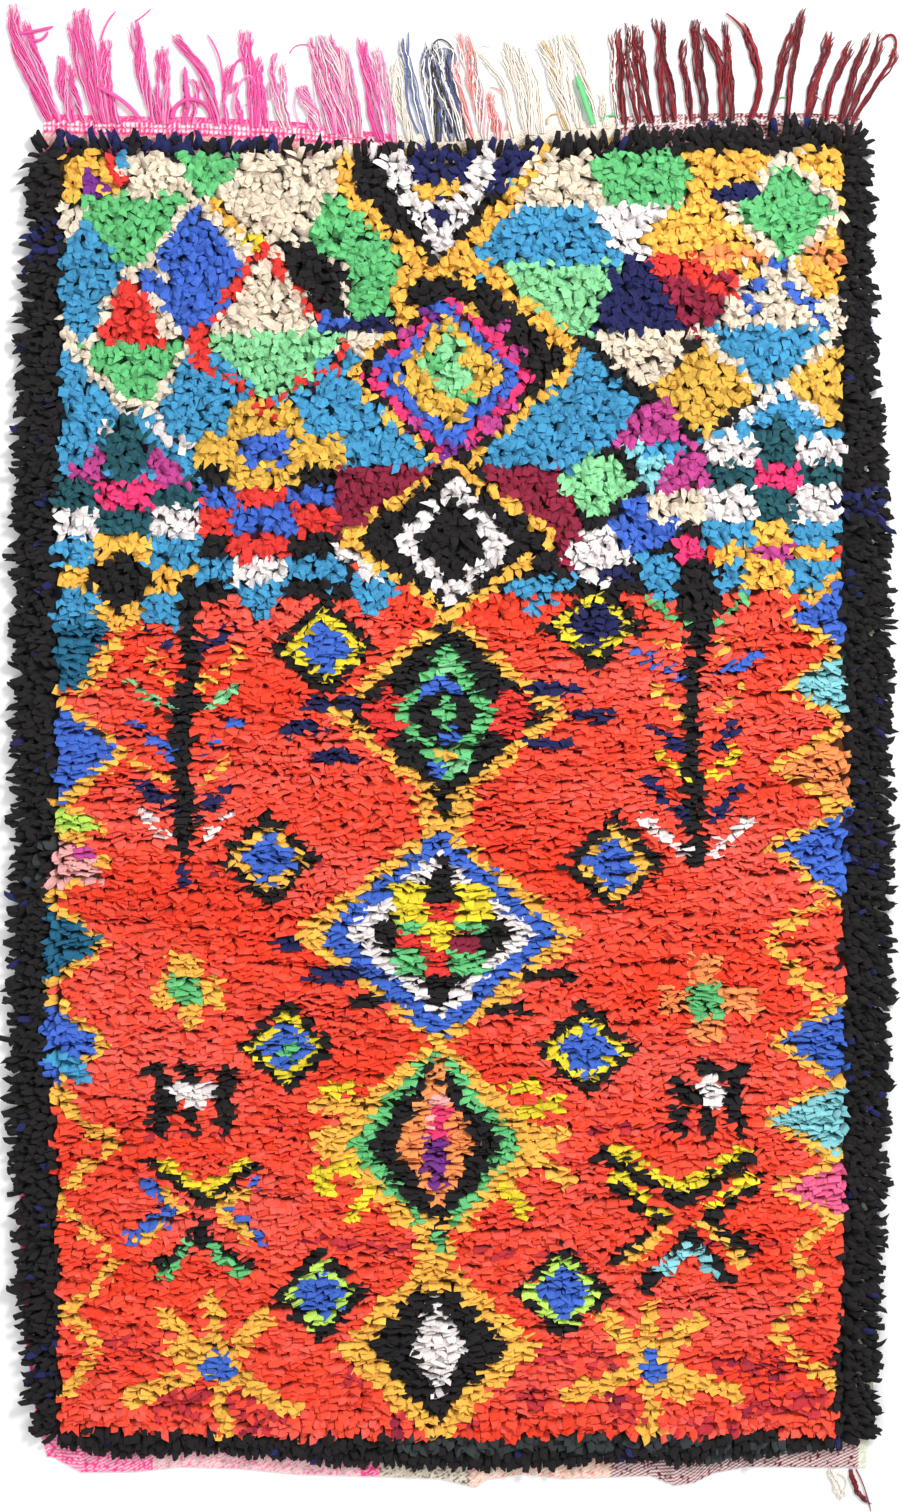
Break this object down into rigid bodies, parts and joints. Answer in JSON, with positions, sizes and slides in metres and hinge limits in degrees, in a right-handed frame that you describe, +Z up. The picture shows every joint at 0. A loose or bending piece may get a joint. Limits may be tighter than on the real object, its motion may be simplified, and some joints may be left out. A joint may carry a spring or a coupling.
{
  "type": "boucherouite rug",
  "caption": "Flat rectangular rag rug with a shaggy knotted pile in lozenges and chequers, a woven ground and a tasselled warp fringe along one short end.",
  "frame": {"origin": "on the floor, under the middle of the rug and its fringe", "axes": "+Z up out of the pile, +Y along the rug towards the fringed end, +X to the right"},
  "size_m": [1.4254, 2.3886, 0.0292],
  "materials": {
    "ground_weave": "plain woven wool and cotton, matt",
    "rag_pile": "knotted strips of cut jersey and cotton rag in many colours, matt",
    "pink_yarn": "plied synthetic yarn, slight sheen",
    "natural_yarn": "undyed plied wool, matt and hairy",
    "maroon_yarn": "plied wool, matt"
  },
  "bodies": {
    "root": {"ground_weave": "ground_weave", "pile": "rag_pile", "fringe_pink": "pink_yarn", "fringe_natural": "natural_yarn", "fringe_maroon": "maroon_yarn", "fringe_corner": "natural_yarn"}
  },
  "joints": []
}
